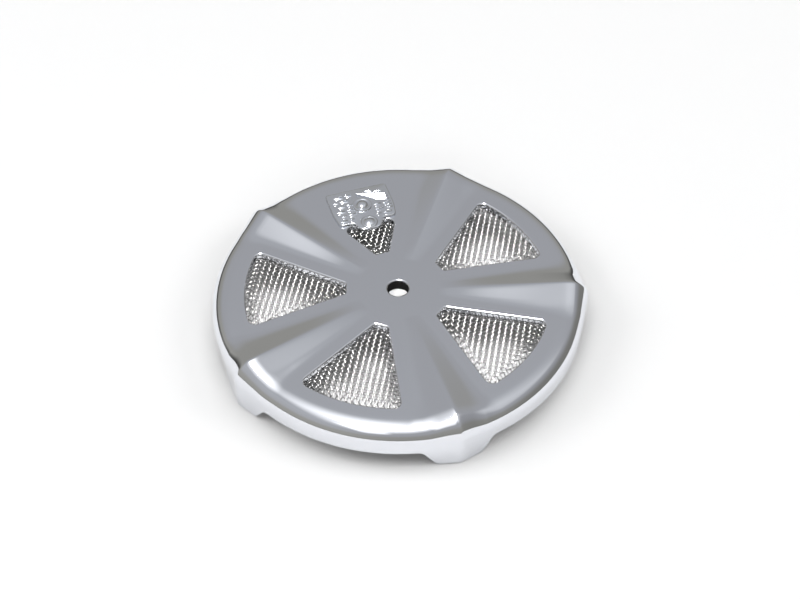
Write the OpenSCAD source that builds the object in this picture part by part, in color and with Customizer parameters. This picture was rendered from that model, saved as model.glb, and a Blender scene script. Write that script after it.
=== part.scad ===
// Round intake-screen cover: cast crown with five ridges, woven mesh, clamps, seals and badge.
// Origin: axis of the centre bore, in the plane of the crown's inner face. +Z out of the cover.

/* [Crown] */
// rim radius of the crown
rim_r = 95; // [80:0.5:110]
// thickness of the top plate
plate_t = 3; // [2.5:0.1:4]
// wall thickness of the skirt
skirt_t = 3; // [2.5:0.1:4]
// depth of the skirt's lower edge below the top plate's outer face
skirt_drop = 14.15; // [10:0.05:20]
// depth of the lug feet below the top plate's outer face
lug_drop = 23.6; // [18:0.05:30]
// radius where the flat plate starts to roll over
flat_r = 84.5; // [80:0.1:90]
// radius of the first, soft roll of the shoulder
roll_r = 24; // [10:0.5:40]
// angle turned by the soft roll
roll_a = 10; // [5:1:20]

/* [Ridges and lugs] */
// height of a ridge crest where it reaches the shoulder
crest_h = 4.6; // [2:0.1:6]
// how far a nose stands out from the skirt
nose_out = 2.6; // [2:0.1:5]
// half width of a ridge at its inner end
ridge_w0 = 4; // [2:0.1:8]
// half width of a ridge at the shoulder
ridge_w1 = 14.9; // [10:0.1:18]
// radius where a ridge starts
ridge_r0 = 21; // [18:0.5:30]
// half width of a lug's foot
lug_foot = 9.8; // [6:0.1:12]
// half width of a lug where it meets the skirt
lug_root = 19.5; // [14:0.1:22]

/* [Windows] */
// distance from the axis at which a window's straight sides would meet
win_apex = 19.4; // [15:0.1:25]
// half angle between a window's straight sides
win_half = 25.4; // [20:0.1:30]
// distance of a window's blunt inner end from the axis
win_in = 26.8; // [24:0.1:32]
// radius of a window's outer edge
win_out = 77.8; // [70:0.1:80]
// distance of the short window's outer edge from the axis
win_short = 50.5; // [45:0.5:60]
// corner radius of a window
win_fillet = 3.5; // [2:0.1:5]

/* [Mesh] */
// thickness of the woven screen, two wires
mesh_t = 1.3; // [0.8:0.05:1.6]
// outer radius of the screen
mesh_r = 84.5; // [82:0.5:87]
// height the screen is pressed up into each window
pillow_h = 3.1; // [1:0.1:4]

/* [Centre and fasteners] */
// radius of the centre bore
bore_r = 5.5; // [4:0.1:8]
// depth of the grommet below the crown's inner face
grommet_drop = 3.4; // [2:0.1:5]
// radius of the screw circle near the centre
screw_r_in = 42; // [38:1:50]
// radius of the screw circle near the rim
screw_r_out = 77; // [70:1:79]
// shank radius of the clamp screws
screw_shank = 1.9; // [1.4:0.05:2.4]

/* [Badge] */
// width of the badge across the plate
badge_w = 34; // [28:1:38]
// inner edge of the badge's body
badge_in = 51; // [48:0.5:55]
// outer edge of the badge's body
badge_out = 76; // [72:0.5:80]
// tip of the badge's tongue
badge_tip = 44.5; // [42:0.5:48]

/* [Hidden] */
$fa = 2;
$fs = 0.5;
nose_at = [for (k = [0:4]) -18 + 72 * k];
win_at = [for (k = [0:4]) 18 + 72 * k];
short_at = 90;
deg = 180 / PI;
top = plate_t;
z_skirt = top - skirt_drop;
z_lug = top - lug_drop;
// shoulder: soft roll, then the tight roll down to the vertical skirt
r1 = flat_r + roll_r * sin(roll_a);
z1 = top - roll_r * (1 - cos(roll_a));
tight = (rim_r - r1) / (1 - sin(roll_a));
z2 = z1 - tight * cos(roll_a);
s1 = flat_r + roll_r * roll_a / deg;
s2 = s1 + tight * (90 - roll_a) / deg;
mesh_z = -0.05;
boss_z = mesh_z - mesh_t;
clamp_z = boss_z - 0.02;
clamp_t = 1.5;
washer_t = 0.9;
head_t = 2.4;
badge_z = top + 0.5;

// ---------- meridian of the crown's outer face ----------
function phi(s) = s < flat_r ? 0 : s < s1 ? (s - flat_r) / roll_r * deg
  : s < s2 ? roll_a + (s - s1) / tight * deg : 90;
function mr(s) = s < flat_r ? s : s < s1 ? flat_r + roll_r * sin(phi(s))
  : s < s2 ? r1 + tight * (sin(phi(s)) - sin(roll_a)) : rim_r;
function mz(s) = s < flat_r ? top : s < s1 ? top - roll_r * (1 - cos(phi(s)))
  : s < s2 ? z1 - tight * (cos(roll_a) - cos(phi(s))) : z2 - (s - s2);

// ---------- ridges, noses and lugs, as a lift off the meridian ----------
function half_w(s) = ridge_w0
  + (ridge_w1 - ridge_w0) * (min(s, s1) - ridge_r0) / (s1 - ridge_r0);
function crest(s) = s < ridge_r0 ? 0 : s < s1 ? crest_h * (s - ridge_r0) / (s1 - ridge_r0)
  : s < s2 ? crest_h + (nose_out - crest_h) * (s - s1) / (s2 - s1) : nose_out;
function lift(s, u) = let (a = abs(u) / half_w(s)) a < 1 ? crest(s) * pow(1 - a, 1.2) : 0;
// lower edge at a distance u from the nose: foot, S curve, then the skirt's edge
function edge_z(u) = let (t = min(max((abs(u) - lug_foot) / (lug_root - lug_foot), 0), 1))
  z_lug + (z_skirt - z_lug) * t * t * (3 - 2 * t);
// columns: across one ridge, then across the flat to the next one
col_t = [-0.92, -0.78, -0.64, -0.5, -0.25, 0, 0.25, 0.5, 0.64, 0.78, 0.92, 1, 2, 3, 4];
n_col = len(col_t);
function col_span(s) = s < s2 ? half_w(max(s, ridge_r0)) : lug_root;
function col_a(s, t) = let (w = col_span(s) / mr(s) * deg)
  t <= 1 ? t * w : w + (72 - 2 * w) * (t - 1) / 4;
row_s = concat([14, ridge_r0, 28, 40, 55, 70, flat_r, s1],
  [for (p = [21:11:76]) s1 + (p - roll_a) / deg * tight]);
row_v = [0, 0.3, 0.65, 1];
n_row = len(row_s) + len(row_v);

module outer_solid() {
  n = 5 * n_col;
  pts = [for (i = [0:n_row - 1]) for (k = [0:4]) for (t = col_t)
    let (on_skirt = i >= len(row_s), s = on_skirt ? s2 + 0.001 : row_s[i],
      a = col_a(s, t), r = mr(s), u = (a > 36 ? 72 - a : a) / deg * r,
      h = lift(s, u), p = phi(s), v = on_skirt ? row_v[i - len(row_s)] : 0,
      z = on_skirt ? z2 + (edge_z(u) - z2) * v : mz(s) + h * cos(p),
      x = r + h * sin(p), b = a + nose_at[k])
    [x * cos(b), x * sin(b), z]];
  // the floor of the solid: the lower edge carried inwards, then closed at the axis
  low = [for (k = [0:4]) for (t = col_t)
    let (s = s2 + 0.001, a = col_a(s, t), u = (a > 36 ? 72 - a : a) / deg * rim_r,
      b = a + nose_at[k], x = rim_r - skirt_t - 3)
    [x * cos(b), x * sin(b), edge_z(u)]];
  m = n_row * n;
  polyhedron(concat(pts, low, [[0, 0, z_skirt - 2]]), concat(
    [[for (j = [n - 1:-1:0]) j]],
    [for (i = [0:n_row - 1]) for (j = [0:n - 1]) let (q = (j + 1) % n) each [
      [i * n + j, i * n + q, (i + 1) * n + q], [i * n + j, (i + 1) * n + q, (i + 1) * n + j]]],
    [for (j = [0:n - 1]) [m + j, m + (j + 1) % n, m + n]]));
}

// ---------- window outline, inset by d ----------
function corner_l(d, ro, f) = let (ax = win_apex + d / sin(win_half),
    k = ax + f * sin(win_half), q = ro - f,
    b = k * cos(win_half) - f * cos(win_half) * sin(win_half),
    c = k * k + f * f * cos(win_half) * cos(win_half) - q * q)
  -b + sqrt(b * b - c);
function long_side(d) = let (ro = win_out - d, f = max(win_fillet - d, 0.6),
    ax = win_apex + d / sin(win_half), l = corner_l(d, ro, f),
    cx = ax + l * cos(win_half) + f * sin(win_half), cy = l * sin(win_half) - f * cos(win_half),
    a1 = atan2(cy, cx), a0 = 90 + win_half)
  concat([for (i = [0:4]) let (a = a0 + (a1 - a0) * i / 4) [cx + f * cos(a), cy + f * sin(a)]],
    [for (i = [1:3]) let (a = a1 * (1 - i / 4)) [ro * cos(a), ro * sin(a)]]);
function short_side(d) = let (f = max(win_fillet - d, 0.6), x = win_short - d,
    ax = win_apex + d / sin(win_half),
    cx = x - f, cy = (cx - ax) * tan(win_half) - f / cos(win_half), a0 = 90 + win_half)
  concat([for (i = [0:4]) let (a = a0 * (1 - i / 4)) [cx + f * cos(a), cy + f * sin(a)]],
    [for (i = [1:3]) [x, cy * (1 - i / 4)]]);
function inner_end(d) = let (ax = win_apex + d / sin(win_half), f = max(1.6 - d / 2, 0.4),
    x = win_in + d, cx = x + f,
    cy = max((cx - ax) * tan(win_half) - f / cos(win_half), 0.1))
  [for (i = [0:3]) let (a = 180 + (win_half - 90) * i / 3) [cx + f * cos(a), cy + f * sin(a)]];
function half_win(d, short) = concat(inner_end(d), short ? short_side(d) : long_side(d));
function window(d, short) = let (h = half_win(d, short), n = len(h))
  concat([for (i = [0:n - 1]) h[i]], [[short ? win_short - d : win_out - d, 0]],
    [for (i = [n - 1:-1:0]) [h[i][0], -h[i][1]]]);

module crown_shell() color([0.82, 0.83, 0.85]) difference() {
  union() {
    difference() {
      outer_solid();
      // hollow: flat inner face, filleted into the skirt's inner wall
      rotate_extrude() polygon(concat(
        [[0, z_lug - 5], [0, 0]],
        [for (i = [0:5]) let (a = 90 - 18 * i)
          [rim_r - skirt_t - 4.5 + 4.5 * cos(a), -4.5 + 4.5 * sin(a)]],
        [[rim_r - skirt_t, z_lug - 5]]));
    }
    // seat for the grommet and the screw bosses
    translate([0, 0, boss_z]) cylinder(r = 12, h = 2);
    for (a = nose_at) for (r = [screw_r_in, screw_r_out]) rotate([0, 0, a])
      translate([r, 0, boss_z]) cylinder(r = 4, h = 2);
  }
  for (a = win_at) rotate([0, 0, a]) translate([0, 0, -3])
    linear_extrude(plate_t + 9) polygon(window(0, a == short_at));
  translate([0, 0, -8]) cylinder(r = bore_r, h = 20);
  translate([0, 0, top - 0.4]) cylinder(r1 = bore_r, r2 = bore_r + 0.6, h = 0.6);
  translate([0, 0, -8]) cylinder(r = 8.02, h = 8 + top - 1);
  for (a = nose_at) for (r = [screw_r_in, screw_r_out]) rotate([0, 0, a])
    translate([r, 0, boss_z - 1]) cylinder(r = 2, h = 1 - boss_z + top - 0.9);
  for (x = [-11, 11]) translate([x, 64, -1]) cylinder(r = 1.6, h = plate_t + 2);
}

// ---------- woven screen, as a plate as thick as two wires ----------
module pillow(short) {
  ds = [-1.2, 0.6, 2.4, 4.6, 7.2];
  hs = [0, 0.10, 0.62, 0.93, 1];
  n = len(window(0, short));
  k = len(ds);
  up = [for (i = [0:k - 1]) for (p = window(ds[i], short))
    [p[0], p[1], mesh_z - (i == 0 ? 0.25 : 0) + pillow_h * hs[i]]];
  dn = [for (i = [0:k - 1]) for (p = window(ds[i], short))
    [p[0], p[1], mesh_z - mesh_t + (i == 0 ? 0.25 : 0) + pillow_h * hs[i]]];
  b = k * n;
  polyhedron(concat(up, dn), concat(
    [for (i = [0:k - 2]) for (j = [0:n - 1]) let (q = (j + 1) % n) each [
      [i * n + j, (i + 1) * n + j, (i + 1) * n + q], [i * n + j, (i + 1) * n + q, i * n + q],
      [b + i * n + j, b + (i + 1) * n + q, b + (i + 1) * n + j],
      [b + i * n + j, b + i * n + q, b + (i + 1) * n + q]]],
    [for (j = [0:n - 1]) let (q = (j + 1) % n) each [
      [j, q, b + q], [j, b + q, b + j]]],
    [[for (j = [0:n - 1]) (k - 1) * n + j], [for (j = [n - 1:-1:0]) b + (k - 1) * n + j]]));
}

module mesh_screen() color([0.75, 0.75, 0.74]) union() {
  difference() {
    translate([0, 0, mesh_z - mesh_t]) cylinder(r = mesh_r, h = mesh_t);
    translate([0, 0, -5]) cylinder(r = 12.4, h = 10);
    for (a = win_at) rotate([0, 0, a]) translate([0, 0, -5])
      linear_extrude(10) polygon(window(-0.4, a == short_at));
    for (a = nose_at) for (r = [screw_r_in, screw_r_out]) rotate([0, 0, a])
      translate([r, 0, -5]) cylinder(r = 4.4, h = 10);
    for (x = [-11, 11]) translate([x, 64, -5]) cylinder(r = 2, h = 10);
  }
  for (a = win_at) rotate([0, 0, a]) pillow(a == short_at);
}

// ---------- clamps: a stem under each ridge and a bar along the rim ----------
module mesh_clamp(a) color([0.16, 0.16, 0.17]) rotate([0, 0, a])
translate([0, 0, clamp_z - clamp_t]) difference() {
  union() {
    linear_extrude(clamp_t) polygon([[24, -5], [24, 5], [30, 8], [78, 15], [78, -15], [30, -8]]);
    rotate([0, 0, -29]) rotate_extrude(angle = 58)
      translate([79, 0]) square([5, clamp_t]);
    rotate([0, 0, -12]) rotate_extrude(angle = 24)
      translate([74, 0]) square([6, clamp_t]);
  }
  for (r = [screw_r_in, screw_r_out]) translate([r, 0, -1]) cylinder(r = 2.25, h = 4);
  // lightening slot between the screws
  translate([54, 0, -1]) cylinder(r = 4, h = 4);
  translate([64, 0, -1]) cylinder(r = 4, h = 4);
  translate([54, -4, -1]) cube([10, 8, 4]);
}

module clamp_screws() color([0.55, 0.55, 0.57]) for (a = nose_at)
  for (r = [screw_r_in, screw_r_out]) rotate([0, 0, a])
  translate([r, 0, clamp_z - clamp_t - washer_t - 0.02]) difference() {
    union() {
      cylinder(r = screw_shank, h = 6.4);
      translate([0, 0, -head_t + 0.6]) cylinder(r = 3.5, h = head_t - 0.6);
      translate([0, 0, -head_t]) cylinder(r1 = 2.9, r2 = 3.5, h = 0.6);
    }
    // hexagon socket
    translate([0, 0, -head_t - 1]) cylinder(r = 1.44, h = 2.4, $fn = 6);
  }

module lock_washers() color([0.5, 0.5, 0.52]) for (a = nose_at)
  for (r = [screw_r_in, screw_r_out]) rotate([0, 0, a])
  translate([r, 0, clamp_z - clamp_t - washer_t - 0.01]) difference() {
    cylinder(r = 3.6, h = washer_t);
    translate([0, 0, -1]) cylinder(r = 2.05, h = 3);
    rotate([0, 0, 40]) translate([1.5, -0.35, -1]) cube([4, 0.7, 3]);
  }

// ---------- centre: rubber grommet and the steel washer it carries ----------
module centre_grommet() color([0.05, 0.05, 0.05]) rotate_extrude() polygon([
  [bore_r, top - 1.02], [8, top - 1.02], [8, boss_z - 0.02], [10.5, boss_z - 0.02],
  [10.8, boss_z - 0.32], [10.8, -grommet_drop + 0.3], [10.5, -grommet_drop], [bore_r, -grommet_drop]]);

module centre_washer() color([0.6, 0.6, 0.62]) translate([0, 0, -grommet_drop - 1.22])
difference() {
  cylinder(r = 10.5, h = 1.2);
  translate([0, 0, -1]) cylinder(r = bore_r + 0.9, h = 4);
}

// ---------- seals and pads ----------
module rim_seal() color([0.07, 0.07, 0.07]) rotate_extrude() polygon([
  [85.2, -0.02], [87.2, -0.02], [87.2, -3], [86.9, -3.6], [86.2, -4], [85.5, -3.6], [85.2, -3]]);

module lug_pad(a) color([0.08, 0.08, 0.08]) rotate([0, 0, a - 4.6]) rotate_extrude(angle = 9.2)
polygon([
  [rim_r - skirt_t - 0.02, z_lug + 1.6], [rim_r - skirt_t - 0.02, z_skirt + 1.4],
  [rim_r - skirt_t - 1.6, z_skirt + 1.4], [rim_r - skirt_t - 2.2, z_skirt + 0.6],
  [rim_r - skirt_t - 2.2, z_lug + 2.4], [rim_r - skirt_t - 1.6, z_lug + 1.6]]);

// ---------- generic badge: plain shield with ribs and a tongue over the short window ----------
module badge_outline() {
  h = badge_w / 2;
  polygon(concat(
    [for (a = [0:18:90]) [h - 3 + 3 * sin(a), badge_out - 4 + 3 * cos(a)]],
    [for (a = [0:18:90]) [h - 5 + 3 * cos(a), badge_in + 3 - 3 * sin(a)]],
    [[7, badge_in - 0.6]],
    [for (a = [0:20:180]) [6.6 * cos(a), badge_tip + 4.5 - 4.5 * sin(a)]],
    [[-7, badge_in - 0.6]],
    [for (a = [90:-18:0]) [-h + 5 - 3 * cos(a), badge_in + 3 - 3 * sin(a)]],
    [for (a = [90:-18:0]) [-h + 3 - 3 * sin(a), badge_out - 4 + 3 * cos(a)]],
    [[0, badge_out]]));
}

module badge_plate() color([0.85, 0.86, 0.88]) union() {
  translate([0, 0, badge_z]) linear_extrude(1.1) badge_outline();
  // raised bars across the shield, a centre boss and a stud on the tongue
  for (y = [55.5, 60, 68, 72.5]) translate([-13, y - 1, badge_z + 1]) cube([26, 2, 0.8]);
  translate([0, 64, badge_z + 1]) cylinder(r = 5, h = 1.3);
  translate([0, 64, badge_z + 2]) cylinder(r = 3, h = 0.9);
  translate([0, 49, badge_z + 1]) cylinder(r1 = 4, r2 = 3, h = 1.1);
  for (x = [-11, 11]) translate([x, 64, -3.4]) cylinder(r = 1.4, h = 3.4 + badge_z + 0.3);
}

module badge_tape() color([0.1, 0.1, 0.1]) translate([0, 0, top + 0.01]) difference() {
  linear_extrude(0.48) polygon([[-14, 53], [14, 53], [15, 74], [-15, 74]]);
  for (x = [-11, 11]) translate([x, 64, -1]) cylinder(r = 2, h = 3);
}

module badge_push_nuts() color([0.45, 0.45, 0.46]) for (x = [-11, 11])
  translate([x, 64, boss_z - 0.72]) difference() {
    union() {
      cylinder(r = 4.2, h = 0.7);
      translate([0, 0, -0.5]) cylinder(r1 = 2.2, r2 = 3, h = 0.6);
    }
    translate([0, 0, -2]) cylinder(r = 1.45, h = 5);
  }

crown_shell();
mesh_screen();
mesh_clamp(nose_at[0]);  // mesh_clamp_1
mesh_clamp(nose_at[1]);  // mesh_clamp_2
mesh_clamp(nose_at[2]);  // mesh_clamp_3
mesh_clamp(nose_at[3]);  // mesh_clamp_4
mesh_clamp(nose_at[4]);  // mesh_clamp_5
clamp_screws();
lock_washers();
centre_grommet();
centre_washer();
rim_seal();
lug_pad(nose_at[0]);  // lug_pad_1
lug_pad(nose_at[1]);  // lug_pad_2
lug_pad(nose_at[2]);  // lug_pad_3
lug_pad(nose_at[3]);  // lug_pad_4
lug_pad(nose_at[4]);  // lug_pad_5
badge_plate();
badge_tape();
badge_push_nuts();
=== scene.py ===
"""Looks of the round air filter cover: polished crown, woven wire screen, badge and fixings."""
import math

import bmesh
import bpy
import numpy as np
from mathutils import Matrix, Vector


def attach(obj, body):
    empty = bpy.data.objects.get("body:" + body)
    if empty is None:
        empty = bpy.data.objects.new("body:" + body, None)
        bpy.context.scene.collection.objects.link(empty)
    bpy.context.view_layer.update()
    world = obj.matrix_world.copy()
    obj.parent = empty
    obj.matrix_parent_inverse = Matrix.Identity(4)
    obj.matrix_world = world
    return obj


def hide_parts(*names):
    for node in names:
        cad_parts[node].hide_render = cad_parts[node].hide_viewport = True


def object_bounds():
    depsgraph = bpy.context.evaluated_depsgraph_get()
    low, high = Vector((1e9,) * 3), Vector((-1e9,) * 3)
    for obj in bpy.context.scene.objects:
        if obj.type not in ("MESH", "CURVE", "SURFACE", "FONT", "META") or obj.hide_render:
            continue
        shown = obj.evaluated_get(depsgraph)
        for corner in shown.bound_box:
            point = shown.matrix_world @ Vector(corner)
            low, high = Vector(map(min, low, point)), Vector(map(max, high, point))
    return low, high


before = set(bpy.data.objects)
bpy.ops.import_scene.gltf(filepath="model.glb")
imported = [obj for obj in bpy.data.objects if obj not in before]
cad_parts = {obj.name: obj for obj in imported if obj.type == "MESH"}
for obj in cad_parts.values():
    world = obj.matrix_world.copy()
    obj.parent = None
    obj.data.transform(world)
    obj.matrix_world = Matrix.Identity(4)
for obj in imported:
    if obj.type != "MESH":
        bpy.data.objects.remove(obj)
cad_lo, cad_hi = [list(v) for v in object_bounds()]

MM = 0.001
rad = math.radians

# ---------------------------------------------------------------- shape of the crown, in mm
RIM, TOP, FLAT = 95.0, 3.0, 84.5
ROLL_R, ROLL_A = 24.0, rad(10)
SKIRT_T = 3.0
Z_SKIRT, Z_LUG = TOP - 14.15, TOP - 23.6
CREST_H, NOSE_OUT = 4.6, 2.6
W0, W1, R0 = 4.0, 14.9, 21.0
LUG_FOOT, LUG_ROOT = 9.8, 19.5
BORE = 5.5
NOSES = [-18 + 72 * k for k in range(5)]
WINDOWS = [18 + 72 * k for k in range(5)]
SHORT = 90
WIN_APEX, WIN_HALF, WIN_IN, WIN_OUT, WIN_SHORT = 19.4, rad(25.4), 26.8, 77.8, 50.5
SCREW_R = (42.0, 77.0)
BADGE_PINS, PIN_Y = (-11.0, 11.0), 64.0
WINDOW_ROUND, LIP, FILLET = 0.9, 0.9, 4.5
BOSS_R, BOSS_Z, SCREW_HOLE_R = 4.0, -1.35, 2.0
CENTRE_BOSS_R, GROMMET_SEAT_R, GROMMET_LIP = 12.0, 8.02, 1.0

R1 = FLAT + ROLL_R * math.sin(ROLL_A)
Z1 = TOP - ROLL_R * (1 - math.cos(ROLL_A))
TIGHT = (RIM - R1) / (1 - math.sin(ROLL_A))
Z2 = Z1 - TIGHT * math.cos(ROLL_A)
S1 = FLAT + ROLL_R * ROLL_A
S2 = S1 + TIGHT * (math.pi / 2 - ROLL_A)
# how round a ridge is: its crest near the hub and at the rim, its foot on the plate and on the shoulder
CREST_SOFT, CREST_SOFT_HUB, CREST_DROP = 0.05, 0.12, 0.6
FOOT_SOFT, FOOT_SOFT_RIM, FOOT_CHANGE = 0.26, 0.44, 8.0


def meridian(s):
    """Radius, height and slope of the outer face at arc length s."""
    phi = np.where(s < FLAT, 0.0, np.where(s < S1, (s - FLAT) / ROLL_R,
                   np.where(s < S2, ROLL_A + (s - S1) / TIGHT, math.pi / 2)))
    r = np.where(s < FLAT, s, np.where(s < S1, FLAT + ROLL_R * np.sin(phi),
                 R1 + TIGHT * (np.sin(phi) - math.sin(ROLL_A))))
    z = np.where(s < FLAT, TOP, np.where(s < S1, TOP - ROLL_R * (1 - np.cos(phi)),
                 Z1 - TIGHT * (math.cos(ROLL_A) - np.cos(phi))))
    return r, z, phi


def half_w(s):
    return W0 + (W1 - W0) * (np.clip(s, R0, S1) - R0) / (S1 - R0)


def blend_pos(x, e):
    """max(x, 0) with a round foot of half width e."""
    return np.where(x > e, x, np.where(x < -e, 0.0, (x + e) ** 2 / (4 * e)))


def lift(s, u):
    """Height of the ridge or nose over the plain face, across it at u."""
    f = np.clip((s - R0) / (S1 - R0), 0, None)
    crest = np.where(s < S1, CREST_H * f,
                     CREST_H + (NOSE_OUT - CREST_H) * np.clip((s - S1) / (S2 - S1), 0, 1))
    w = half_w(s)
    a = np.abs(u) / w
    soft = CREST_SOFT + CREST_SOFT_HUB * np.clip(1 - f, 0, 1)
    ridge = np.sqrt(a * a + soft * soft) - soft * CREST_DROP
    foot = FOOT_SOFT + FOOT_SOFT_RIM * np.clip((s - FLAT + FOOT_CHANGE) / (S2 - FLAT + FOOT_CHANGE), 0, 1)
    # the noses' sides are straight in plan, so the lift there loses the rim's own curve
    k = np.clip((s - FLAT) / (S2 - FLAT), 0, 1)
    bow = (w * w / (2 * RIM)) * np.clip(a * (1 - a), 0, None) * k
    return crest * blend_pos(1 - ridge, foot) - bow


def edge_z(u):
    t = np.clip((np.abs(u) - LUG_FOOT) / (LUG_ROOT - LUG_FOOT), 0, 1)
    return Z_LUG + (Z_SKIRT - Z_LUG) * t * t * (3 - 2 * t)


# ---------------------------------------------------------------- mesh helpers
def make_mesh(name, verts, faces):
    me = bpy.data.meshes.new(name)
    me.from_pydata([tuple(v) for v in np.asarray(verts, float) * MM], [], faces)
    me.update()
    ob = bpy.data.objects.new(name, me)
    bpy.context.collection.objects.link(ob)
    return ob


def face_outward(ob):
    bm = bmesh.new()
    bm.from_mesh(ob.data)
    bmesh.ops.recalc_face_normals(bm, faces=bm.faces)
    bm.to_mesh(ob.data)
    bm.free()


def smooth_below(ob, angle):
    """Face the surface outward and shade it smooth, apart from edges sharper than angle in degrees."""
    face_outward(ob)
    ob.data.shade_smooth()
    ob.data.set_sharp_from_angle(angle=rad(angle))


def grid_faces(n_row, n_col, closed_col=True, closed_row=False, flip=False, base=0):
    out = []
    for i in range(n_row if closed_row else n_row - 1):
        i2 = (i + 1) % n_row
        for j in range(n_col if closed_col else n_col - 1):
            j2 = (j + 1) % n_col
            q = (base + i * n_col + j, base + i * n_col + j2, base + i2 * n_col + j2, base + i2 * n_col + j)
            out.append(q[::-1] if flip else q)
    return out


def spun(profile, n=48, at=(0, 0), base=0, closed=False):
    """Surface of revolution of (r, z) points round a vertical axis; closed joins the last point to the first."""
    a = np.linspace(0, 2 * math.pi, n, endpoint=False)
    v = [(at[0] + r * math.cos(t), at[1] + r * math.sin(t), z) for r, z in profile for t in a]
    return v, grid_faces(len(profile), n, True, closed, False, base)


def joined(parts):
    verts, faces = [], []
    for v, f in parts:
        b = len(verts)
        verts += [tuple(p) for p in v]
        faces += [tuple(i + b for i in q) for q in f]
    return verts, faces


# ---------------------------------------------------------------- window outline, inset by d
def window_half(d, short, n_arc=6, n_edge=5):
    ax = WIN_APEX + d / math.sin(WIN_HALF)
    sw, cw = math.sin(WIN_HALF), math.cos(WIN_HALF)
    f = max(1.6 - d / 2, 0.4)
    x = WIN_IN + d
    cx = x + f
    cy = max((cx - ax) * math.tan(WIN_HALF) - f / cw, 0.1)
    pts = []
    for i in range(n_arc):
        a = math.pi + (WIN_HALF - math.pi / 2) * i / (n_arc - 1)
        pts.append((cx + f * math.cos(a), cy + f * math.sin(a)))
    pts = [(px, abs(py)) for px, py in pts]
    f = max(3.5 - d, 0.6)
    if short:
        xo = WIN_SHORT - d
        cx = xo - f
        cy = (cx - ax) * math.tan(WIN_HALF) - f / cw
        a0, a1 = math.pi / 2 + WIN_HALF, 0.0
    else:
        ro = WIN_OUT - d
        k, q = ax + f * sw, ro - f
        b = k * cw - f * cw * sw
        c = k * k + f * f * cw * cw - q * q
        ln = -b + math.sqrt(b * b - c)
        cx, cy = ax + ln * cw + f * sw, ln * sw - f * cw
        a0, a1 = math.pi / 2 + WIN_HALF, math.atan2(cy, cx)
    for i in range(n_arc):
        a = a0 + (a1 - a0) * i / (n_arc - 1)
        pts.append((cx + f * math.cos(a), cy + f * math.sin(a)))
    for i in range(1, n_edge):
        if short:
            pts.append((WIN_SHORT - d, cy * (1 - i / n_edge)))
        else:
            a = a1 * (1 - i / n_edge)
            pts.append(((WIN_OUT - d) * math.cos(a), (WIN_OUT - d) * math.sin(a)))
    return pts


def window(d, short, angle):
    h = window_half(d, short)
    p = h + [((WIN_SHORT if short else WIN_OUT) - d, 0.0)] + [(x, -y) for x, y in reversed(h)]
    c, s = math.cos(rad(angle)), math.sin(rad(angle))
    return [(x * c - y * s, x * s + y * c) for x, y in p]


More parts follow.
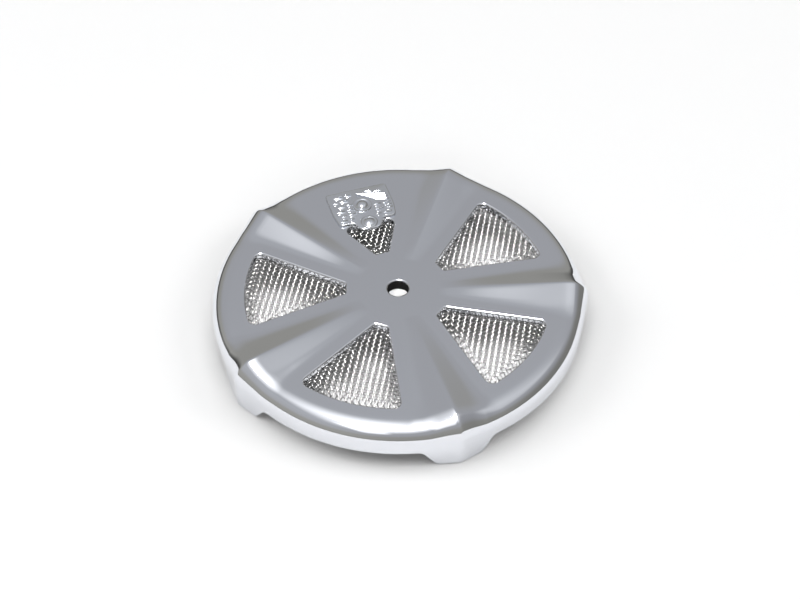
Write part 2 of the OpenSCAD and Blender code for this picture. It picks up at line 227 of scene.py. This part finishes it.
# ---------------------------------------------------------------- crown
def crown():
    t_pos = [0.012, 0.03, 0.055, 0.09, 0.15, 0.22, 0.3, 0.38, 0.46, 0.54, 0.6, 0.66, 0.72, 0.78, 0.84,
             0.89, 0.94, 0.99, 1.04, 1.09, 1.14, 1.19, 1.24, 1.30, 1.36, 1.42, 1.49, 1.58, 1.7]
    t_col = [-t for t in t_pos[::-1]] + [0.0] + t_pos
    n_flat = 14
    rows = []

    def angles(s):
        r = float(meridian(np.array(max(s, R0)))[0])
        w = float(half_w(np.array(max(s, R0))))
        a = [math.degrees(t * w / r) for t in t_col]
        gap = 72 - 2 * a[-1]
        a += [a[-1] + gap * (k + 1) / (n_flat + 1) for k in range(n_flat)]
        return np.array([n + x for n in NOSES for x in a])

    def ring(s, r, z):
        a = np.radians(angles(s))
        rr = np.broadcast_to(r, a.shape)
        zz = np.broadcast_to(z, a.shape)
        rows.append(np.stack([rr * np.cos(a), rr * np.sin(a), zz], 1))

    def off(s):
        """Signed distance of each column from its nose, along the arc."""
        a = angles(s)
        d = np.min(np.abs((a[:, None] - np.array(NOSES)[None] + 180) % 360 - 180), axis=1)
        return np.radians(d) * float(meridian(np.array(s))[0])

    for r, z in ((BORE, TOP - 0.42), (BORE + 0.12, TOP - 0.32), (BORE + 0.38, TOP - 0.1), (BORE + 0.6, TOP)):
        ring(R0, r, z)
    for s in (BORE + 0.9, 9, 14, 18, 20, R0):
        ring(R0, s, TOP)
    # rows over the plate, then over the roll and the tight shoulder
    s_rows = [22, 23.5, 25.5, 28] + list(np.arange(31, 79, 3)) + [80.5, 82.5, FLAT]
    s_rows += list(np.linspace(FLAT, S1, 5)[1:]) + list(np.linspace(S1, S2, 17)[1:])
    for s in s_rows:
        s = float(s)
        r, z, phi = [float(x) for x in meridian(np.array(s))]
        h = lift(np.full(len(angles(s)), s), off(s))
        ring(s, r + h * math.sin(phi), z + h * math.cos(phi))
    u = off(S2)
    h = lift(np.full(len(u), S2 + 1), u)
    low = edge_z(u)
    ro = RIM + h
    for v in (0.12, 0.28, 0.46, 0.64, 0.82, 0.95):
        ring(S2, ro, Z2 + (low + LIP - Z2) * v)
    # rounded lower lip, then the plain inside
    for k in range(5):
        a = rad(22.5 * k)
        ring(S2, ro - LIP * (1 - math.cos(a)), low + LIP * (1 - math.sin(a)))
    ri = RIM - SKIRT_T
    ring(S2, ri + 0.6, low)
    ring(S2, ri + 0.17, low + 0.17)
    ring(S2, ri, low + 0.6)
    ring(S2, ri, low * 0.5 - FILLET * 0.5)
    for a in (0, 22.5, 45, 67.5, 90):
        ring(S2, ri - FILLET + FILLET * math.cos(rad(a)), -FILLET + FILLET * math.sin(rad(a)))
    for r, z in ((60, 0), (30, 0), (CENTRE_BOSS_R + 0.3, 0), (CENTRE_BOSS_R, -0.1), (CENTRE_BOSS_R, BOSS_Z),
                 (GROMMET_SEAT_R, BOSS_Z), (GROMMET_SEAT_R, TOP - GROMMET_LIP), (BORE, TOP - GROMMET_LIP)):
        ring(R0, r, z)
    verts = np.concatenate(rows)
    n = len(rows[0])
    body = make_mesh("crown_body", verts, grid_faces(len(rows), n, True, True, True))

    # holes: windows and badge pins
    cut = []
    for w in WINDOWS:
        o = window(-WINDOW_ROUND, w == SHORT, w)
        k = len(o)
        v = [(x, y, -6.0) for x, y in o] + [(x, y, 9.0) for x, y in o]
        f = [tuple(range(k))[::-1], tuple(range(k, 2 * k))]
        f += [(i, (i + 1) % k, k + (i + 1) % k, k + i) for i in range(k)]
        cut.append((v, f))
    for x in BADGE_PINS:
        v, f = spun([(1.6, -3), (1.6, 6)], 24, (x, PIN_Y))
        f += [tuple(range(24))[::-1], tuple(range(24, 48))]
        cut.append((v, f))
    v, f = joined(cut)
    tool = make_mesh("cut", v, f)
    for o in (body, tool):
        face_outward(o)
    m = body.modifiers.new("cut", "BOOLEAN")
    m.operation, m.solver, m.object = "DIFFERENCE", "EXACT", tool
    bpy.context.view_layer.update()
    dg = bpy.context.evaluated_depsgraph_get()
    done = bpy.data.meshes.new_from_object(body.evaluated_get(dg))
    body.modifiers.clear()
    verts = [tuple(x.co / MM) for x in done.vertices]
    faces = [tuple(p.vertices) for p in done.polygons]
    for o in (body, tool):
        bpy.data.objects.remove(o, do_unlink=True)

    # each window's rim: flat land, round edge, wall
    parts = [(verts, faces)]
    for w in WINDOWS:
        prof = [(-WINDOW_ROUND, 0.0), (-WINDOW_ROUND, TOP)]
        prof += [(-WINDOW_ROUND + WINDOW_ROUND * math.sin(rad(a)), TOP - WINDOW_ROUND * (1 - math.cos(rad(a))))
                 for a in (8, 22, 40, 58, 76, 90)]
        prof += [(0.0, 0.25), (-0.25, 0.0)]
        rings = [[(x, y, z) for x, y in window(d, w == SHORT, w)] for d, z in prof]
        k = len(rings[0])
        v = [p for r in rings for p in r]
        parts.append((v, grid_faces(len(rings), k, True, True)))
    boss = [(BOSS_R, 0.5), (BOSS_R, BOSS_Z + 0.15), (BOSS_R - 0.15, BOSS_Z), (SCREW_HOLE_R + 0.2, BOSS_Z),
            (SCREW_HOLE_R, BOSS_Z + 0.2), (SCREW_HOLE_R, 0.5)]
    for n_at in NOSES:
        for r in SCREW_R:
            c = (r * math.cos(rad(n_at)), r * math.sin(rad(n_at)))
            parts.append(spun(boss, 32, c, 0, True))
    v, f = joined(parts)
    ob = make_mesh("crown_polished", v, f)
    smooth_below(ob, 32)
    return ob


# ---------------------------------------------------------------- woven screen
PITCH, WIRE, CRIMP = 2.117, 0.58, 0.34
WEAVE_AT = 17.0
MESH_R, MESH_Z = 84.4, -0.7
# the pillow rises steeply within EDGE_RUN of a window's edge, then gently up to DOME_RUN
PILLOW, DOME, EDGE_RUN, DOME_RUN, CORNER = 3.1, 0.9, 4.2, 15.0, 3.0
WIRE_SIDES = 6


def window_depth(x, y):
    """Distance inside the nearest window's outline (negative outside), and the pillow's height there."""
    best = np.full(x.shape, -99.0)
    for w in WINDOWS:
        c, s = math.cos(rad(w)), math.sin(rad(w))
        lx, ly = x * c + y * s, -x * s + y * c
        side = (lx - WIN_APEX) * math.sin(WIN_HALF) - np.abs(ly) * math.cos(WIN_HALF)
        out = WIN_SHORT - lx if w == SHORT else WIN_OUT - np.hypot(lx, ly)
        d = np.minimum(side, lx - WIN_IN)
        # the outer corners are round
        h = np.clip(CORNER - np.abs(d - out), 0, None) / CORNER
        d = np.minimum(d, out) - h * h * CORNER / 4
        d = np.where(lx > 0, d, -99.0)
        best = np.maximum(best, d)
    t = np.clip((best + 0.2) / EDGE_RUN, 0, 1)
    q = np.clip(best / DOME_RUN, 0, 1)
    return best, (PILLOW - DOME) * t * t * (3 - 2 * t) + DOME * q * (2 - q)


def screen():
    """Both sets of wires, each wire a bent tube that goes over and under the other set."""
    sets = []
    holes = [(r * math.cos(rad(n)), r * math.sin(rad(n)), 4.4) for n in NOSES for r in SCREW_R]
    holes += [(x, PIN_Y, 2.0) for x in BADGE_PINS] + [(0, 0, CENTRE_BOSS_R + 0.4)]
    for k, at in enumerate((WEAVE_AT, WEAVE_AT + 90)):
        a = rad(at)
        ux, uy = math.cos(a), math.sin(a)
        vx, vy = -uy, ux
        verts, faces = [], []
        count = int(MESH_R / PITCH)
        base = 0
        for i in range(-count, count + 1):
            off = i * PITCH
            half = math.sqrt(max(MESH_R ** 2 - off ** 2, 0))
            if half < 2:
                continue
            step = PITCH / 4
            n = int(half / step)
            t = np.arange(-n, n + 1) * step
            x, y = t * ux + off * vx, t * uy + off * vy
            depth, rise = window_depth(x, y)
            z = MESH_Z + rise + (1 if (i + k) % 2 else -1) * CRIMP * np.cos(np.pi * t / PITCH)
            keep = np.ones(len(t), bool)
            for hx, hy, hr in holes:
                keep &= (x - hx) ** 2 + (y - hy) ** 2 > hr * hr
            # under the webs, where only the back is seen, half the points do
            coarse = (depth < -3.0) & ((np.arange(len(t)) - n) % 2 == 1)
            idx = np.arange(len(t))[~coarse]
            run = []
            for j in list(idx) + [None]:
                if j is not None and keep[j]:
                    run.append(j)
                    continue
                if len(run) > 3:
                    p = np.stack([x[run], y[run], z[run]], 1)
                    tan = np.gradient(p, axis=0)
                    tan /= np.linalg.norm(tan, axis=1, keepdims=True)
                    side = np.array([vx, vy, 0.0])
                    up = np.cross(tan, side)
                    up *= np.sign(up[:, 2:3])
                    m = WIRE_SIDES
                    turns = [2 * math.pi * q / m for q in range(m)]
                    rings = [p + (WIRE / 2) * (math.cos(q) * side + math.sin(q) * up) for q in turns]
                    r = np.stack(rings, 1).reshape(-1, 3)
                    verts.append(r)
                    c = len(p)
                    ii, jj = np.meshgrid(np.arange(c - 1), np.arange(m), indexing="ij")
                    j2 = (jj + 1) % m
                    quads = [ii * m + jj, ii * m + j2, (ii + 1) * m + j2, (ii + 1) * m + jj]
                    faces.append(np.stack(quads, -1).reshape(-1, 4) + base)
                    base += len(r)
                run = []
        v = np.concatenate(verts)
        f = np.concatenate(faces)
        me = bpy.data.meshes.new("screen_wires_%d" % (k + 1))
        me.vertices.add(len(v))
        me.vertices.foreach_set("co", (v * MM).astype(np.float32).ravel())
        me.loops.add(f.size)
        me.loops.foreach_set("vertex_index", f.astype(np.int32).ravel())
        me.polygons.add(len(f))
        me.polygons.foreach_set("loop_start", (np.arange(len(f)) * 4).astype(np.int32))
        me.update(calc_edges=True)
        me.validate()
        me.shade_smooth()
        ob = bpy.data.objects.new("screen_wires_%d" % (k + 1), me)
        bpy.context.collection.objects.link(ob)
        sets.append(ob)
    return sets


# ---------------------------------------------------------------- badge
BOSS_Y, STUD_Y = 62.6, 49.4


def slab(outline, z0, z1, bevel, skirt):
    """A plate with a rounded upper edge and a thin skirt below, from a closed outline that turns left."""
    o = np.array(outline, float)
    n = len(o)
    prev, nxt = np.roll(o, 1, 0), np.roll(o, -1, 0)
    t = nxt - prev
    t /= np.linalg.norm(t, axis=1, keepdims=True)
    inward = np.stack([-t[:, 1], t[:, 0]], 1)
    rings = [(0.8, z0), (0.8, skirt), (0, skirt), (0, z1 - bevel)]
    rings += [(bevel * (1 - math.cos(rad(a))), z1 - bevel * (1 - math.sin(rad(a)))) for a in (30, 60, 90)]
    v = []
    for d, z in rings:
        p = o + inward * d
        v += [(x, y, z) for x, y in p]
    f = grid_faces(len(rings), n, True, False)
    f.append(tuple((len(rings) - 1) * n + i for i in range(n)))
    f.append(tuple(range(n))[::-1])
    return v, f


def rounded(points, r, steps=4):
    """Closed outline of straight sides with round corners."""
    p = [np.array(q, float) for q in points]
    out = []
    for i, b in enumerate(p):
        a, c = p[i - 1], p[(i + 1) % len(p)]
        u = (a - b) / np.linalg.norm(a - b)
        v = (c - b) / np.linalg.norm(c - b)
        d = min(r, 0.45 * min(np.linalg.norm(a - b), np.linalg.norm(c - b)))
        s, e = b + u * d, b + v * d
        for k in range(steps + 1):
            t = k / steps
            out.append((1 - t) ** 2 * s + 2 * t * (1 - t) * b + t * t * e)
    return [tuple(q) for q in out]


def rod(x0, x1, y, z, r, rise, lean=0.0):
    """A half-round bar along X with round ends, on height z and rising towards +X; lean turns it in plan."""
    n, m = 7, 8
    cols = [(x0 + r - r * math.cos(rad(a)), r * math.sin(rad(a))) for a in (8, 30, 55, 90)]
    cols += [(x1 - r + r * math.cos(rad(a)), r * math.sin(rad(a))) for a in (90, 55, 30, 8)]
    turns = [math.pi * k / n for k in range(n + 1)]
    v = [(x, y + lean * (x - x0) - q * math.cos(t), z + (q + rise * (x - x0)) * math.sin(t))
         for x, q in cols for t in turns]
    f = grid_faces(len(cols), n + 1, False, False)
    f += [tuple(range(n + 1)), tuple(reversed(range((m - 1) * (n + 1), m * (n + 1))))]
    f += [(i * (n + 1), (i + 1) * (n + 1), (i + 1) * (n + 1) + n, i * (n + 1) + n) for i in range(m - 1)]
    return v, f


def badge():
    z = TOP + 0.5  # the back of the plate, on its tape
    shield = [(-17, 76), (-17, 60), (-15.5, 51), (-7.5, 50.6), (-6.6, 46.5), (-3.6, 44.5), (3.6, 44.5),
              (6.6, 46.5), (7.5, 50.6), (15.5, 51), (17, 60), (17, 76)]
    parts = [slab(rounded(shield, 2.0), z, z + 0.9, 0.55, skirt=TOP + 0.03)]
    # tread blocks: plain half-round bars in bowed rows either side of a round boss, like a tyre's
    for row, y in enumerate((53.2, 56.8, 60.5, 64.2, 67.9, 71.6)):
        x = -15.2 + (row % 2) * 1.7
        k = 0
        while x < 12.8:
            w = (4.4, 3.2, 5.2)[(k + row) % 3]
            end = min(x + w, 15.4)
            mid = (x + end) / 2
            yy = y + 0.8 - (mid / 17) ** 2
            near_boss = math.hypot(mid, yy - BOSS_Y) < 5.6 + w / 3
            near_flash, near_tongue = row > 2 and mid > -1, row < 2 and abs(mid) < 5.5
            if not (near_boss or near_flash or near_tongue):
                parts.append(rod(x, end, yy, z + 0.7, 0.30, 0.24))
                parts.append(rod(x + 0.8, end - 0.8, yy - 1.7, z + 0.7, 0.28, 0.04))
            x += w + 0.7
            k += 1
    for y in (56.0, 58.2, 60.4, 62.6, 64.8):
        parts.append(rod(12.6, 15.5, y + 0.8, z + 0.7, 0.3, 0.28))
    for x in (3.6, 8.7):
        parts.append(rod(x, x + 4.9, 73.3 - 0.325 * (x - 3.6), z + 0.75, 0.5, 0.08, -0.325))
    # a sloping flash that rises towards the rim
    ramp = [(-1.0, 71.2), (6.5, 66.6), (8.5, 64.8), (13.8, 63.0), (13.8, 66.6)]
    low = [(x, y, z + 0.8) for x, y in ramp]
    high = [(x, y, z + 2.1 + 0.163 * (x + 1.0) + 0.42 * (y - 71.2)) for x, y in ramp]
    n = len(ramp)
    parts.append((low + high, [tuple(range(n))[::-1], tuple(range(n, 2 * n))]
                  + [(i, (i + 1) % n, n + (i + 1) % n, n + i) for i in range(n)]))
    boss = [(5.3, 0.7), (5.3, 1.2), (5.0, 1.7), (4.5, 1.85), (3.9, 1.7), (3.4, 1.45), (3.1, 1.5), (2.8, 2.0),
            (2.0, 2.5), (1.0, 2.75), (0.01, 2.8)]
    stud = [(4.6, 0.6), (4.5, 1.0), (4.1, 1.35), (3.4, 1.4), (3.0, 1.25), (2.6, 1.4), (1.8, 1.9), (0.9, 2.1),
            (0.01, 2.15)]
    parts.append(spun([(r, z + h) for r, h in boss], 40, (0, BOSS_Y)))
    parts.append(spun([(r, z + h) for r, h in stud], 36, (0, STUD_Y)))
    for x in BADGE_PINS:
        parts.append(spun([(1.4, z + 0.5), (1.4, -3.2), (1.1, -3.4), (0.01, -3.4)], 20, (x, PIN_Y)))
    v, f = joined(parts)
    ob = make_mesh("badge_relief", v, f)
    smooth_below(ob, 38)
    return ob


# ---------------------------------------------------------------- materials
def material(name, color, metallic, roughness, bump, scale, rough_vary):
    m = bpy.data.materials.new(name)
    m.use_nodes = True
    nt = m.node_tree
    bs = nt.nodes["Principled BSDF"]
    bs.inputs["Base Color"].default_value = (*color, 1)
    bs.inputs["Metallic"].default_value = metallic
    bs.inputs["Roughness"].default_value = roughness
    tc = nt.nodes.new("ShaderNodeTexCoord")
    nz = nt.nodes.new("ShaderNodeTexNoise")
    nz.inputs["Scale"].default_value = scale
    nz.inputs["Detail"].default_value = 4
    nt.links.new(tc.outputs["Object"], nz.inputs["Vector"])
    mr = nt.nodes.new("ShaderNodeMapRange")
    mr.inputs["To Min"].default_value = max(roughness - rough_vary, 0.0)
    mr.inputs["To Max"].default_value = roughness + rough_vary
    nt.links.new(nz.outputs["Fac"], mr.inputs["Value"])
    nt.links.new(mr.outputs["Result"], bs.inputs["Roughness"])
    if bump:
        bp = nt.nodes.new("ShaderNodeBump")
        bp.inputs["Strength"].default_value = bump
        bp.inputs["Distance"].default_value = 0.0003
        nt.links.new(nz.outputs["Fac"], bp.inputs["Height"])
        nt.links.new(bp.outputs["Normal"], bs.inputs["Normal"])
    return m


# colour, metallic, roughness, bump, size of the noise, how far the roughness varies
FINISHES = {
    "chrome_crown": ((0.79, 0.805, 0.845), 1.0, 0.045, 0.0, 60, 0.012),
    "woven_wire": ((0.52, 0.515, 0.51), 1.0, 0.20, 0.03, 900, 0.03),
    "black_clamp": ((0.018, 0.018, 0.02), 0.0, 0.42, 0.15, 500, 0.06),
    "screw_steel": ((0.50, 0.50, 0.52), 1.0, 0.3, 0.05, 700, 0.06),
    "washer_steel": ((0.42, 0.42, 0.44), 1.0, 0.36, 0.06, 700, 0.06),
    "black_rubber": ((0.006, 0.006, 0.006), 0.0, 0.6, 0.1, 800, 0.06),
    "plain_washer": ((0.60, 0.60, 0.61), 1.0, 0.28, 0.05, 700, 0.05),
    "seal_rubber": ((0.012, 0.012, 0.012), 0.0, 0.7, 0.2, 900, 0.08),
    "pad_rubber": ((0.014, 0.014, 0.014), 0.0, 0.65, 0.2, 600, 0.08),
    "badge_metal": ((0.80, 0.82, 0.86), 1.0, 0.12, 0.04, 600, 0.04),
    "tape_foam": ((0.02, 0.02, 0.02), 0.0, 0.9, 0.3, 1500, 0.05),
    "nut_steel": ((0.33, 0.33, 0.34), 1.0, 0.4, 0.06, 700, 0.06),
}
MATS = {name: material(name, *finish) for name, finish in FINISHES.items()}


def dress(ob, slot):
    ob.data.materials.clear()
    ob.data.materials.append(MATS[slot])


record_slots = {
    "crown_shell": "chrome_crown", "mesh_screen": "woven_wire", "clamp_screws": "screw_steel",
    "lock_washers": "washer_steel", "centre_grommet": "black_rubber", "centre_washer": "plain_washer",
    "rim_seal": "seal_rubber", "badge_plate": "badge_metal", "badge_tape": "tape_foam",
    "badge_push_nuts": "nut_steel",
}
for i in range(1, 6):
    record_slots["mesh_clamp_%d" % i] = "black_clamp"
    record_slots["lug_pad_%d" % i] = "pad_rubber"

for ob in [o for o in bpy.data.objects if o.type == "MESH"]:
    for node, slot in record_slots.items():
        if ob.name == node or ob.name.startswith(node + "."):
            dress(ob, slot)

cr = crown()
dress(cr, "chrome_crown")
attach(cr, "root")
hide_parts("crown_shell")

wires = screen()
for wv in wires:
    dress(wv, "woven_wire")
    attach(wv, "root")
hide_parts("mesh_screen")

bd = badge()
dress(bd, "badge_metal")
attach(bd, "root")
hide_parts("badge_plate")

# ---------------------------------------------------------------- floor, light, camera
floor_z = cad_lo[2]
me = bpy.data.meshes.new("floor")
HALF = 6.0
me.from_pydata([(x * HALF, y * HALF, floor_z) for x, y in ((-1, -1), (1, -1), (1, 1), (-1, 1))], [], [(0, 1, 2, 3)])
floor = bpy.data.objects.new("floor", me)
bpy.context.collection.objects.link(floor)
me.materials.append(material("studio_floor", (0.30, 0.30, 0.30), 0.0, 0.9, 0.0, 3, 0.02))

# strengths of the lights that the chrome doesn't mirror, in radiance
CEILING, BANKS, FRONT, UNDER, THROUGH = 5.7, (13.2, 9.8), 8.0, 9.0, 2.0
# the picture is turned by this much about the vertical
TURN = rad(-18)
world = bpy.data.worlds.new("studio")
bpy.context.scene.world = world
world.use_nodes = True
nt = world.node_tree
bg = nt.nodes["Background"]
tc = nt.nodes.new("ShaderNodeTexCoord")
rot = nt.nodes.new("ShaderNodeVectorRotate")
rot.rotation_type = "Z_AXIS"
rot.inputs["Angle"].default_value = -TURN
sep = nt.nodes.new("ShaderNodeSeparateXYZ")
nt.links.new(tc.outputs["Generated"], rot.inputs["Vector"])
nt.links.new(rot.outputs["Vector"], sep.inputs["Vector"])
# grey room: darker and warmer near the horizon, lighter above
ramp = nt.nodes.new("ShaderNodeValToRGB")
ramp.color_ramp.interpolation = "EASE"
els = ramp.color_ramp.elements
els[0].position, els[0].color = 0.0, (0.30, 0.295, 0.27, 1)
els[1].position, els[1].color = 1.0, (0.55, 0.56, 0.58, 1)
for pos, col in ((0.35, (0.33, 0.325, 0.30)), (0.68, (0.40, 0.405, 0.42)), (0.85, (0.45, 0.46, 0.48))):
    e = els.new(pos)
    e.color = (*col, 1)
nt.links.new(sep.outputs["Z"], ramp.inputs["Fac"])
nt.links.new(ramp.outputs["Color"], bg.inputs["Color"])


def toward(x, y, lo, hi, to_lo, to_hi):
    """A factor that changes from to_lo to to_hi as a direction turns towards (x, y) of the room."""
    dot = nt.nodes.new("ShaderNodeVectorMath")
    dot.operation = "DOT_PRODUCT"
    dot.inputs[1].default_value = (x, y, 0)
    nt.links.new(rot.outputs["Vector"], dot.inputs[0])
    mr = nt.nodes.new("ShaderNodeMapRange")
    mr.interpolation_type = "SMOOTHSTEP"
    for key, val in (("From Min", lo), ("From Max", hi), ("To Min", to_lo), ("To Max", to_hi)):
        mr.inputs[key].default_value = val
    nt.links.new(dot.outputs["Value"], mr.inputs["Value"])
    return mr.outputs["Result"]


def room_math(op, a, b):
    n = nt.nodes.new("ShaderNodeMath")
    n.operation = op
    nt.links.new(a, n.inputs[0])
    nt.links.new(b, n.inputs[1])
    return n.outputs[0]


low = nt.nodes.new("ShaderNodeMapRange")
low.interpolation_type = "SMOOTHSTEP"
for key, val in (("From Min", 0.04), ("From Max", 0.30), ("To Min", 0.22), ("To Max", 1.0)):
    low.inputs[key].default_value = val
nt.links.new(sep.outputs["Z"], low.inputs["Value"])
# a darker strip low down behind the part
dark = room_math("MAXIMUM", low.outputs["Result"], toward(-0.2, 0.98, 0.35, 0.75, 1.0, 0.0))
side = room_math("MULTIPLY", toward(0.985, 0.17, 0.55, 0.95, 1.0, 0.68), toward(-0.93, -0.37, 0.30, 0.80, 1.0, 1.18))
nt.links.new(room_math("MULTIPLY", side, dark), bg.inputs["Strength"])


def area(name, size, size_y, pos, target, radiance, turn=None, glossy=True, diffuse=True, spread=180):
    """A rectangle of light aimed at target, or level and facing down when turn is given."""
    li = bpy.data.lights.new(name, "AREA")
    li.shape = "RECTANGLE"
    li.size, li.size_y = size, size_y
    li.energy = radiance * math.pi * size * size_y
    li.spread = rad(spread)
    ob = bpy.data.objects.new(name, li)
    ob.location = pos
    if turn is None:
        ob.rotation_euler = (Vector(target) - Vector(pos)).to_track_quat("-Z", "Y").to_euler()
    else:
        ob.rotation_euler = (0, 0, turn)
    ob.visible_glossy, ob.visible_diffuse = glossy, diffuse
    bpy.context.collection.objects.link(ob)
    return ob


def cam_frame(x, y, z):
    """A place with x to the right of the picture, y away from its near edge."""
    return (x * math.cos(TURN) - y * math.sin(TURN), x * math.sin(TURN) + y * math.cos(TURN), z)


def soft_sheet(name, box, layers):
    """A level sheet of light over the part whose brightness fades softly to its edges.

    layers: (strength, [(slant, dark, bright), ...] for x, [(dark, bright), ...] for y), metres."""
    x0, x1, y0, y1, z = box
    middle = cam_frame((x0 + x1) / 2, (y0 + y1) / 2, z)
    li = area(name, x1 - x0, y1 - y0, middle, (0, 0, 0), 1.0, TURN, diffuse=False).data
    li.use_nodes = True
    nt = li.node_tree
    em = next(n for n in nt.nodes if n.bl_idname == "ShaderNodeEmission")
    geo = nt.nodes.new("ShaderNodeNewGeometry")
    rot = nt.nodes.new("ShaderNodeVectorRotate")
    rot.rotation_type = "Z_AXIS"
    rot.inputs["Angle"].default_value = -TURN
    sep = nt.nodes.new("ShaderNodeSeparateXYZ")
    nt.links.new(geo.outputs["Position"], rot.inputs["Vector"])
    nt.links.new(rot.outputs["Vector"], sep.inputs["Vector"])

    def math_node(op, a, b):
        n = nt.nodes.new("ShaderNodeMath")
        n.operation = op
        for k, v in enumerate((a, b)):
            if isinstance(v, (int, float)):
                n.inputs[k].default_value = v
            else:
                nt.links.new(v, n.inputs[k])
        return n.outputs[0]

    def fade(v, dark, bright):
        n = nt.nodes.new("ShaderNodeMapRange")
        n.interpolation_type = "SMOOTHSTEP"
        lo, hi = (dark, bright) if dark < bright else (bright, dark)
        n.inputs["From Min"].default_value, n.inputs["From Max"].default_value = lo, hi
        n.inputs["To Min"].default_value = 0.0 if dark < bright else 1.0
        n.inputs["To Max"].default_value = 1.0 if dark < bright else 0.0
        nt.links.new(v, n.inputs["Value"])
        return n.outputs["Result"]

    total = None
    for strength, xs, ys in layers:
        v = None
        for slant, dark, bright in xs:
            u = math_node("ADD", sep.outputs["X"], math_node("MULTIPLY", sep.outputs["Y"], slant))
            g = fade(u, dark, bright)
            v = g if v is None else math_node("MULTIPLY", v, g)
        for dark, bright in ys:
            v = math_node("MULTIPLY", v, fade(sep.outputs["Y"], dark, bright))
        v = math_node("MULTIPLY", v, strength)
        total = v if total is None else math_node("ADD", total, v)
    nt.links.new(total, em.inputs["Strength"])


# a soft-edged softbox over the front left, hotter in the middle, and a dim one to the right of it
soft_sheet("softbox", (-0.38, 0.13, -0.66, 0.34, 0.52), [
    (0.93, [(0.0, -0.36, -0.06), (0.25, 0.11, 0.0)], [(-0.54, -0.20), (0.33, 0.10)]),
    (0.70, [(0.0, -0.25, -0.17), (0.0, -0.02, -0.08)], [(-0.66, -0.50), (-0.14, -0.24)]),
    (3.2, [(0.0, -0.16, -0.04), (0.25, 0.035, -0.02)], [(-0.32, -0.10), (0.14, 0.02)]),
    (46.0, [(0.0, -0.15, -0.09), (0.0, 0.0, -0.04)], [(-0.26, -0.18), (0.06, 0.0)])])
soft_sheet("side_glow", (0.0, 0.56, -0.46, 0.36, 0.5201), [
    (0.19, [(0.0, 0.0, 0.20), (0.0, 0.56, 0.34)], [(-0.46, -0.20), (0.36, 0.12)])])
# the floor's own light: a high ceiling and a bank on each side, which the chrome doesn't mirror
area("ceiling", 4.0, 4.0, (0, 0, 3.5), (0, 0, 0), CEILING, glossy=False)
for k, side in enumerate((-1, 1)):
    area("bank_%d" % (k + 1), 1.8, 1.4, cam_frame(side * 2.6, 0.1, 1.9), (0, 0, 0), BANKS[k], glossy=False)
area("front_bank", 2.4, 0.8, cam_frame(0, -2.4, 1.2), (0, 0, 0), FRONT, glossy=False)
# light that comes down through the windows onto the floor under them; the badge shades the short one
for w in WINDOWS:
    for r, long_way, wide in ((0.041, 0.018, 0.014), (0.0635, 0.025, 0.036)):
        if w == SHORT:
            continue
        near = cam_frame(0, 0.002, -0.0165)
        place = (near[0] + r * math.cos(rad(w)), near[1] + r * math.sin(rad(w)), near[2])
        area("through_%d_%d" % (w, r * 1000), long_way, wide, place, (0, 0, 0), THROUGH, rad(w), glossy=False)
# a pin light under the middle of the cover, for the floor that shows through the bore
area("under_bore", 0.008, 0.008, cam_frame(0, 0.016, -0.010), cam_frame(0, 0.0216, floor_z), UNDER, glossy=False,
     spread=100)

cam = bpy.data.cameras.new("camera")
cam.lens, cam.sensor_width = 65.09, 36
cam.clip_start, cam.clip_end = 0.01, 50
co = bpy.data.objects.new("camera", cam)
bpy.context.collection.objects.link(co)
elevation, distance = rad(47.29), 0.7317
target = Vector((-0.00164, -0.00829, 0.003))
back = Vector((math.sin(TURN) * math.cos(elevation), -math.cos(TURN) * math.cos(elevation), math.sin(elevation)))
co.location = target + back * distance
co.rotation_euler = (-back).to_track_quat("-Z", "Y").to_euler()
bpy.context.scene.camera = co

vs = bpy.context.scene.view_settings
vs.view_transform = "Standard"
vs.look = "None"
vs.exposure = 0.0

bpy.context.view_layer.update()
